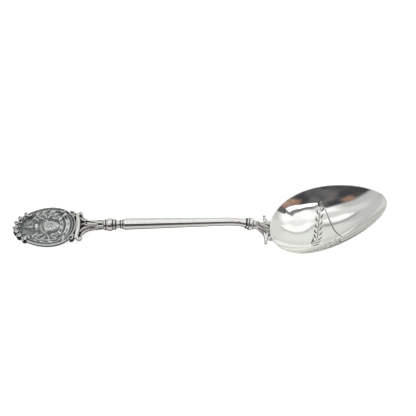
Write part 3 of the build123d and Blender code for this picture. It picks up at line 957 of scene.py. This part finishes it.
def make_edge_scrolls():
    """The row of curls round the medallion's tip."""
    solids = []
    for turn in (-58, -38, -19, 0, 19, 38, 58):
        angle = math.radians(turn)
        centre = (1.3 + 8.1 * (1 - math.cos(angle)), 6.9 * math.sin(angle))
        solids += curl(centre, 1.32, 180 - turn * 1.3, 1.15 if turn >= 0 else -1.15, 0.38, CURL_TOP + 0.1)
        bead = (2.9 + 6.9 * (1 - math.cos(angle * 1.02)), 5.5 * math.sin(angle * 1.02), RIM_TOP - 0.1)
        solids.append(ball(bead, 0.36))
    points, faces = fused(solids, 0.075, 1)
    points[:, 0] = np.maximum(points[:, 0], 0.02)
    # Painted shade: all but the curls' tops are set dark by height, so they read as dark lumps with bright
    # tops; the mesh's own hollows add the oxide.
    recess = 3.2 - 3.1 * smooth_step(points[:, 2], 1.78, 2.12)
    piece("tip_curls", HANDLE, points, faces, ["edge_scrolls"], "curl_silver", recess, 0.08)


def make_corner_scrolls():
    """The C-scrolls and beads in the corners between the medallion and the bracket."""
    hook = spiral((22.3, 5.9), 1.1, 150, 1.05, 0.35, 30)
    t = np.linspace(0, 1, 30)
    solids = [
        tube(lifted(hook, 1.3 + 0.25 * np.sin(math.pi * t)), 0.3 * (1 - 0.4 * t), 0.34),
        ball((23.0, 4.5, 1.3), 0.45),
        ball((21.6, 7.0, 1.2), 0.4),
        slab(spiral((22.3, 5.9), 1.1, 0, 1, 1.0)[:-1], 0.2, 0.95),
    ]
    points, faces = fused(both_sides(solids), 0.075, 1)
    # Painted shade: all but the tops of the scrolls and beads are set dark by height; the mesh's own hollows
    # add the oxide.
    recess = 2.6 - 2.5 * smooth_step(points[:, 2], 0.9, 1.6)
    piece("corner_curls", HANDLE, points, faces, ["corner_scrolls"], "curl_silver", recess, 0.1)


def make_rim_straps():
    """Short straps that lap over the border and curl in to a bead."""
    solids = []
    for turn, lean in ((128, 1), (52, -1)):
        angle = math.radians(turn)
        edge = MEDALLION.edge(angle)
        ahead = unit(MEDALLION.edge(angle + 0.02) - edge) * lean
        inward = np.array([ahead[1], -ahead[0]]) * lean
        steps = ((0.1, 0), (0.9, 0.55), (1.75, 0), (1.5, -0.8))
        line = smooth_line([edge + inward * a + ahead * b for a, b in steps], 18)
        t = np.linspace(0, 1, 18)
        solids.append(tube(lifted(line, 1.5 + 0.3 * np.sin(math.pi * t)), 0.36 - 0.1 * t, 0.36))
        solids.append(ball((*(edge + inward * 1.45 - ahead * 0.75), 1.55), 0.4))
    points, faces = fused(both_sides(solids), 0.075, 1)
    piece("rim_straps", HANDLE, points, faces, [], "relief_silver", hollow=0.1)


def make_scroll_bracket():
    """The crossbar behind the medallion, with hooked volutes and a palmette that spreads to it."""
    bar = arc_points((23.75, -5.8), (24.75, 0.0), (23.75, 5.8), 41)
    swell = 1 - 0.35 * np.linspace(-1, 1, 41) ** 2
    web = [(22.7, -5.4), (24.6, -5.9), (25.8, -5.1), (26.4, -3.8), (28.0, -2.3)]
    solids = [
        tube(lifted(bar, 1.1 * swell), 0.95 * swell, 0.88 * swell),
        slab(web + [(x, -y) for x, y in web[::-1]], 0.05, 0.6),
        tube([(30.4, 0, 1.7), (28.2, 0, 1.85), (25.6, 0, 1.5)], [0.2, 0.62, 0.12], [0.8, 0.8, 0.3]),
    ]
    hook = np.vstack([[(24.3, 4.7)], spiral((25.4, 5.75), 0.8, 200, -0.85, 0.45, 26)])
    thick = np.linspace(0.6, 0.34, 27)
    edge = smooth_line([(31.0, 1.6), (29.0, 2.05), (27.3, 2.8), (26.4, 3.8), (25.9, 5.1)], 26)
    side_leaf = smooth_line([(30.6, 0.85), (28.6, 1.15), (26.8, 1.9), (25.4, 3.3)], 26)
    rise = np.sin(math.pi * np.linspace(0.08, 0.92, 26))
    low = np.linspace(0.75, 1.0, 26)
    paired = [
        tube(lifted(hook, 0.7), thick, thick * 1.1),
        ball((25.4, 5.8, 0.9), 0.42),
        tube(lifted(edge, low), 0.18 + 0.24 * rise, 0.3 + 0.3 * rise),
        tube(lifted(side_leaf, 1.35 + 0.25 * rise), 0.14 + 0.3 * rise, 0.26 + 0.24 * rise),
    ]
    points, faces = fused(solids + both_sides(paired), 0.085, 1)
    points[:, 2] = np.maximum(points[:, 2], 0.02)
    # Painted shade: the bracket's lower sides are set dark by height and its tops stay bright; the mesh's own
    # hollows add the oxide.
    recess = 2.2 - 2.2 * smooth_step(points[:, 2], 0.5, 1.35)
    piece("bracket_palmette", HANDLE, points, faces, ["scroll_bracket"], "leaf_silver", recess, 0.09)


# ---- neck, baluster and stem ----
CORNER_OXIDE = 4.2  # enough to stay dark on a round shape
NECK_LEAVES = 6
NECK_TIERS = [(32.3, 26.6, 0.5, 0.62), (NECK_END + 0.3, 30.0, 0.0, 0.58)]  # root, tip, turn in leaves, rise


def neck_surface(s, angle):
    """The leafy neck's radius, and how deep between its leaves each point is."""
    t = (NECK_END - s) / (NECK_END - NECK_START)
    core = 1.3 + 0.45 * t**2.5
    best, recess = core + 0 * angle, np.ones(np.shape(s + angle))
    for root, tip, shift, lift in NECK_TIERS:
        along = np.clip((root - s) / (root - tip), 0, 1)
        spread = 1.0 - 0.97 * smooth_step(along, 0.3, 1.0) ** 1.3
        turn = (angle * NECK_LEAVES / (2 * math.pi) + shift + 0.5) % 1 - 0.5
        off = np.abs(turn) * 2 / spread
        rise = lift * (0.72 + 0.4 * np.sin(math.pi * along**1.3))
        body = np.maximum(1 - off**2.2, 0) ** 0.75 * rise - 0.13 * np.exp(-((turn / 0.045) ** 2))
        inside = (off < 1) & (s < root) & (s > tip) & (core + body > best)
        best = np.where(inside, core + body, best)
        recess = np.where(inside, smooth_step(off, 0.5, 0.95), recess)
    return best, recess


def make_neck():
    """The neck, wrapped in two tiers of long overlapping leaves that point to the medallion."""
    stations = np.linspace(NECK_START, NECK_END, 120)
    points, faces = lathe(stations, lambda s, angle: neck_surface(s, angle)[0], 240)
    _, recess = neck_surface(*np.meshgrid(stations, around(240), indexing="ij"))
    recess = 0.1 + 2.4 * np.r_[recess.ravel(), 1, 1]
    piece("neck_leaves", AXIS, points, faces, ["leaf_neck"], "leaf_silver", recess, 0.12)


def turned_piece(name, node, place, stations, radius, finish, edge_reach=0.3):
    """A turned ring or knop, dark in the corners where it meets its neighbours."""
    points, faces = lathe(stations, radius, 128)
    ends = np.minimum(points[:, 0] - stations[0], stations[-1] - points[:, 0])
    recess = CORNER_OXIDE * (1 - smooth_step(ends, 0.04, edge_reach))
    piece(name, place, points, faces, [node], finish, recess, 0.1)


def make_ring(name, place, start, end, radius, finish, roundness=0.42):
    """A ring with round shoulders; roundness is their part of its length."""
    stations, shape = shoulders(start, end, radius, roundness * (end - start))
    turned_piece(name + "_turning", name, place, stations, shape, finish)


def make_baluster():
    """The turned pieces between the neck and the stem."""
    finish = "baluster_silver"
    make_ring("back_ring", AXIS, NECK_END, KNOP_START, RING_RADIUS, finish)
    stations = np.linspace(KNOP_START, KNOP_END, 48)

    def barrel(s, _):
        t = (s - KNOP_START) / (KNOP_END - KNOP_START)
        swell = np.sin(math.pi * np.clip(t, 0, 1)) ** 0.55
        turned_line = 0.09 * np.exp(-(((t - 0.24) / 0.035) ** 2))
        return BARREL_END_RADIUS + BARREL_SWELL * swell - turned_line

    turned_piece("knop_barrel", "baluster_knop", AXIS, stations, barrel, finish, 0.4)
    make_ring("front_ring", AXIS, KNOP_END, COLLAR_START, RING_RADIUS, finish)
    stations = np.linspace(COLLAR_START, COLLAR_END, 32)

    def hollow(s, _):
        t = (s - COLLAR_START) / (COLLAR_END - COLLAR_START)
        return COLLAR_WAIST + COLLAR_FLARE * (2 * t - 1) ** 2

    turned_piece("collar_hollow", "hollow_collar", AXIS, stations, hollow, finish, 0.4)
    make_ring("stem_ring", AXIS, COLLAR_END, STEM_START, STEM_RING_RADIUS, finish)


def make_stem():
    """The stem: a domed shoulder, a straight taper, and the bend down to a slight flare at the lower knop."""
    end = STEM_STRAIGHT + BEND_RADIUS * bend
    dome_stations = STEM_SHOULDER * (1 - np.cos(np.linspace(0, math.pi / 2, 14)))
    stations = np.r_[dome_stations, np.linspace(STEM_SHOULDER, end, 140)[1:]]

    def radius(s, _):
        taper = STEM_START_RADIUS + (STEM_END_RADIUS - STEM_START_RADIUS) * s / end
        short = np.clip(1 - s / STEM_SHOULDER, 0, 1)
        flare = STEM_FLARE * smooth_step(s, end - STEM_FLARE_LENGTH, end) ** 2
        return taper - 0.5 * (1 - np.sqrt(1 - short**2)) + flare

    def along_bend(points):
        s, side, up = points.T
        angle = np.clip((s - STEM_STRAIGHT) / BEND_RADIUS, 0, None)
        x = np.minimum(s, STEM_STRAIGHT) + (BEND_RADIUS + up) * np.sin(angle)
        z = (BEND_RADIUS + up) * np.cos(angle) - BEND_RADIUS
        return np.stack([x, side, z], -1)

    points, faces = lathe(stations, radius, 128, along_bend)
    along = np.minimum(points[:, 0], end - points[:, 0])
    recess = 0.9 * (1 - smooth_step(along, 0.0, 0.3))
    piece("stem_rod", SHAFT, points, faces, ["stem"], "stem_silver", recess)


def make_lower_knop():
    """The three rings between the stem and the heel bracket."""
    station = 0.0
    for name, width, radius in LOWER_RINGS:
        make_ring(name, LOWER, station, station + width, radius, "turned_silver", 0.46)
        station += width


# ---- heel bracket ----
def settled_on_bowl(points):
    """Draws a bracket's points, in the heel's frame, out of the bowl and onto its outside."""
    world = carried(HEEL, points)
    local = (world - BOWL[:, 3]) @ BOWL[:, :3]
    x, y, z = local.T
    wall = (np.clip(1 + z / BOWL_DEPTH, 0.0, 1)) ** (1 / BOWL_POWER)
    share = OUTSIDE.share(x, y)
    grow = np.where((share < wall) & (share > 1e-6), wall / np.maximum(share, 1e-6), 1)
    x = OUTSIDE.centre + (x - OUTSIDE.centre) * grow
    world = np.stack([x, y * grow, z], -1) @ BOWL[:, :3].T + BOWL[:, 3]
    return (world - HEEL[:, 3]) @ HEEL[:, :3]


def make_heel_bracket():
    """The fluted leaf on the bowl's end, that flares to an arm each side with a bead on it."""
    spine = [(-0.3, 0, 0), (0.8, 0, 0), (2.6, 0, -0.15), (4.6, 0, -0.5), (6.4, 0, -0.85), (8.0, 0, -1.1)]
    solids = [tube(spine, [1.6, 1.65, 2.1, 3.2, 3.9, 4.1], [1.5, 1.4, 1.1, 0.8, 0.7, 0.7], 40)]
    t = np.linspace(0, 1, 28)
    for lean in (-1.8, -0.6, 0.6, 1.8):
        across = lean * (0.56 + 1.0 * t**1.8)
        height = 1.3 * np.sqrt(np.maximum(1 - (lean / 2.7) ** 2, 0)) * (1 - t**1.2) - 0.05 * t
        line = np.stack([-0.2 + 6.5 * t, across, height], -1)
        solids.append(tube(line, 0.24 + 0.22 * np.sin(math.pi * np.minimum(t * 0.7, 0.5)), 0.5, 14))
    web_back = arc_points((2.2, 1.4), (3.9, 2.6), (4.4, 5.2), 14)
    web_front = smooth_line([(5.2, 5.4), (5.6, 4.5), (6.2, 4.0), (6.9, 4.4), (7.6, 4.1)], 16)
    half_web = np.vstack([web_back, web_front])
    t = np.linspace(0, 1, 24)
    arm = [(0.9, 1.4, 0.1), (2.8, 1.8, 0.0), (4.0, 2.7, -0.2), (4.5, 4.1, -0.4), (4.65, 5.5, -0.7)]
    front = [(7.0, 2.8, -0.3), (6.3, 3.3, -0.25), (5.6, 4.2, -0.4), (4.9, 5.4, -0.7)]
    middle = [(4.6, 2.2, 0.25), (4.9, 3.2, 0.05), (4.7, 4.6, -0.35)]
    lobe = [(6.2, 3.2, -0.2), (6.5, 3.9, -0.3), (6.9, 4.3, -0.4)]
    paired = [
        slab(np.vstack([half_web, [(7.6, 0), (1.2, 0)]]), -1.3, -0.2),
        tube(smooth_line(middle, 24), 0.3 + 0.2 * np.sin(math.pi * t), 0.35, 14),
        tube(smooth_line(arm, 24), 0.38 + 0.16 * np.sin(math.pi * t), 0.5, 16),
        tube(smooth_line(front, 24), 0.42 + 0.12 * np.sin(math.pi * t), 0.45 - 0.05 * t, 16),
        tube(smooth_line(lobe, 24), 0.45, 0.42, 14),
        ball((4.7, 5.4, -0.75), 0.62),
        ball((6.9, 4.2, -0.45), 0.5),
    ]
    points, faces = fused(solids + both_sides(paired), 0.09, 1)
    points = settled_on_bowl(points)
    piece("heel_leaf", HEEL, points, faces, ["heel_bracket"], "heel_silver", hollow=0.08)


def make_heel_beads():
    """The polished ball on the end of each arm."""
    neck = tube([(4.7, 5.9, -0.75), (4.7, 6.1, -0.75)], 0.42)
    points, faces = fused(both_sides([ball((4.7, 6.45, -0.75), 0.65, 32), neck]), 0.06, 2)
    piece("arm_beads", HEEL, points, faces, ["heel_beads"], "turned_silver", hollow=0.1)


# ---- floor, light and camera ----
ROOM_LIGHT, ROOM_SEEN, WINDOW_LIGHT = 1.08, (0.86, 0.86, 0.86, 1), (1.6, 1.6, 1.58, 1)
CAMERA_TURN, CAMERA_RISE, CAMERA_ROLL = -4.0, 52.0, 4.1  # degrees
CAMERA_DISTANCE, CAMERA_TARGET = 420.0, (1.05, 0.0, 5.3)  # millimetres
CAMERA_LENS, CAMERA_SHIFT = 97.36, (8 / 416, 16 / 416)  # millimetres, parts of the picture's side


def linear(grey):
    """Light of a grey from 0 to 255."""
    g = grey / 255
    return g / 12.92 if g <= 0.04045 else ((g + 0.055) / 1.055) ** 2.4


def tone(red, green, blue):
    return (linear(red), linear(green), linear(blue), 1)


FLOOR_HALF, FLOOR_DROP, FLOOR_GLOW = 3.0, 0.05, 0.8  # metres, millimetres, emission


def make_floor():
    """A plain pale floor. Glossy rays see a painted shadow on it instead, dark close by the spoon and pale
    further out, which the silver mirrors.
    """
    material, n = new_material("pale_floor")
    colour = n.mix(n.noise(40, 2), (0.93, 0.93, 0.93, 1), (0.95, 0.95, 0.95, 1))
    shader = n.add("BsdfPrincipled", Roughness=0.85)
    n.feed(shader.inputs["Base Color"], colour)
    n.feed(shader.inputs["Emission Color"], (1, 1, 1, 1))
    n.feed(shader.inputs["Emission Strength"], FLOOR_GLOW)
    part = n.add("SeparateXYZ", Vector=n.add("TexCoord").outputs["Object"])
    # Painted shadow for reflections only: dark beside the spoon, pale further out.
    before = n.times(part.outputs["Y"], -1.0)
    behind = n.times(n.minus(part.outputs["Y"], 6 * MM), 0.8)
    away = n.math("MAXIMUM", before, behind)
    painted_shadow_colour = n.mix(n.ramp(away, 0.8 * MM, 8 * MM), tone(72, 69, 68), tone(212, 213, 210))
    painted_shadow_image = n.add("Emission", Color=painted_shadow_colour)
    glossy = n.add("LightPath").outputs["Is Glossy Ray"]
    surface = n.add("MixShader")
    n.feed(surface.inputs[0], glossy)
    n.feed(surface.inputs[1], shader.outputs[0])
    n.feed(surface.inputs[2], painted_shadow_image.outputs[0])
    n.add("OutputMaterial", Surface=surface.outputs[0])
    mesh = bpy.data.meshes.new("floor")
    corners = [(i * FLOOR_HALF, j * FLOOR_HALF, 0) for i, j in ((-1, -1), (1, -1), (1, 1), (-1, 1))]
    mesh.from_pydata(corners, [], [(0, 1, 2, 3)])
    mesh.materials.append(material)
    floor = placed("floor", mesh)
    floor.location.z = cad_box[0][2] - FLOOR_DROP * MM


def make_room():
    """A white studio, with a dark side in front of the spoon and a narrow bright window that it mirrors.

    Directions are in degrees: rise is over the horizon, and toward is 0 in front of the spoon, on its -Y
    side, and grows to its right. Later patches lie over earlier ones, each within two bounds.
    """
    world = bpy.data.worlds.new("room")
    bpy.context.scene.world = world
    world.use_nodes = True
    n = Nodes(world.node_tree)
    way = n.add("TexCoord").outputs["Generated"]
    part = n.add("SeparateXYZ", Vector=way)
    x, y, z = part.outputs
    rise = n.times(n.math("ARCSINE", z), 180 / math.pi)
    toward = n.times(n.math("ARCTAN2", x, n.times(y, -1.0)), 180 / math.pi)
    aside = n.math("ABSOLUTE", toward)
    tilted = n.minus(rise, n.times(toward, 0.1))
    beyond_edge = n.math("MAXIMUM", n.minus(-10.0, toward), 0.0)
    steeper = n.plus(tilted, n.times(beyond_edge, 0.25))
    right_fall = n.plus(rise, n.times(toward, 0.47))
    cloud = n.add("TexNoise", Vector=way, Scale=3.2, Detail=2.0).outputs["Fac"]

    def within(value, low, high, soft, soft_high=None):
        enter = n.ramp(value, low - soft, low + soft)
        leave = n.ramp(value, high - (soft_high or soft), high + (soft_high or soft), 1, 0)
        return n.times(enter, leave)

    def patch(under, shade, across, upward):
        return n.mix(n.times(across, upward), under, shade)

    wall = n.mix(n.ramp(rise, 0, 30), tone(184, 184, 182), tone(212, 214, 211))
    wall = patch(wall, tone(224, 227, 222), n.ramp(aside, 140, 160), n.ramp(rise, 5, 40))
    high = n.mix(n.ramp(aside, 100, 135), tone(255, 255, 255), tone(233, 235, 234))
    high = n.mix(n.ramp(rise, 80, 86), high, tone(249, 249, 248))
    dark = n.mix(n.ramp(cloud, 0.35, 0.65), tone(66, 66, 70), tone(104, 103, 103))
    copper = n.mix(n.ramp(cloud, 0.4, 0.6), tone(150, 118, 100), tone(186, 166, 150))
    low_band = n.ramp(rise, 34, 40, 1, 0)
    patches = [
        (tone(253, 253, 252), n.ramp(aside, 122, 138), within(rise, 54.5, 68.5, 1.5)),
        (tone(196, 197, 196), n.ramp(aside, 128, 140), within(rise, 49, 53.5, 1.5)),
        (tone(190, 191, 190), within(toward, -134, -102, 6), low_band),
        (tone(186, 187, 187), within(toward, -86, -70, 5), low_band),
        (tone(158, 158, 158), within(toward, -142, -110, 4), within(right_fall, -25.5, -21, 1)),
        (tone(253, 253, 253), within(toward, -131, -106, 4), within(right_fall, -18.5, -8, 1.5)),
        (tone(252, 252, 252), within(toward, -92, -72, 5), within(rise, 42, 70, 4)),
        (tone(124, 124, 126), within(toward, -52, 60, 6), within(steeper, 54, 74.5, 1.0, 3)),
        (tone(194, 192, 190), within(toward, 60, 104, 8), n.ramp(rise, 54, 60, 1, 0)),
        (dark, within(toward, -72, 70, 4), n.ramp(tilted, 53.5, 55.5, 1, 0)),
        (tone(98, 97, 98), within(toward, 42, 70, 4), n.ramp(tilted, 59, 61, 1, 0)),
        (tone(150, 120, 104), within(toward, -72, -62, 3), within(rise, 20, 30, 3)),
        (copper, within(toward, -6, 46, 8), within(tilted, 44, 54.5, 3, 1)),
        (WINDOW_LIGHT, within(toward, -44, 43, 4), within(steeper, 56.3, 65.0, 0.8, 1.2)),
    ]
    colour = n.mix(n.ramp(rise, 58, 66), wall, high)
    for shade, across, upward in patches:
        colour = patch(colour, shade, across, upward)
    seen = n.add("LightPath").outputs["Is Camera Ray"]
    colour = n.mix(seen, colour, ROOM_SEEN)
    background = n.add("Background", Color=colour, Strength=ROOM_LIGHT)
    n.add("OutputWorld", Surface=background.outputs[0])


def make_camera():
    """A long lens over the spoon's near side, a little to its left, and slightly rolled."""
    turn, rise, roll = (math.radians(a) for a in (CAMERA_TURN, CAMERA_RISE, CAMERA_ROLL))
    back = Vector((math.sin(turn) * math.cos(rise), -math.cos(turn) * math.cos(rise), math.sin(rise)))
    right = Vector((math.cos(turn), math.sin(turn), 0))
    up = back.cross(right)
    across = right * math.cos(roll) + up * math.sin(roll)
    upward = up * math.cos(roll) - right * math.sin(roll)
    data = bpy.data.cameras.new("camera")
    camera = placed("camera", data)
    place = Vector(CAMERA_TARGET) * MM + back * CAMERA_DISTANCE * MM
    axes = Matrix((across, upward, back)).transposed().to_4x4()
    camera.matrix_world = Matrix.Translation(place) @ axes
    data.sensor_width, data.lens = 36.0, CAMERA_LENS
    data.shift_x, data.shift_y = CAMERA_SHIFT
    data.clip_start, data.clip_end = 0.01, 20
    bpy.context.scene.camera = camera


for make in (make_camera, make_room, make_floor, make_bowl):
    make()
for name in RELIEFS:
    make_relief(name)
for make in (
    make_plate,
    make_rim,
    make_edge_scrolls,
    make_corner_scrolls,
    make_rim_straps,
    make_scroll_bracket,
    make_neck,
    make_baluster,
    make_stem,
    make_lower_knop,
    make_heel_bracket,
    make_heel_beads,
):
    make()
for name in ("upper_dowel", "lower_dowel"):
    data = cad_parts[name].data
    data.materials.clear()
    data.materials.append(SILVER["dowel_silver"])
bpy.context.scene.view_settings.view_transform = "Standard"
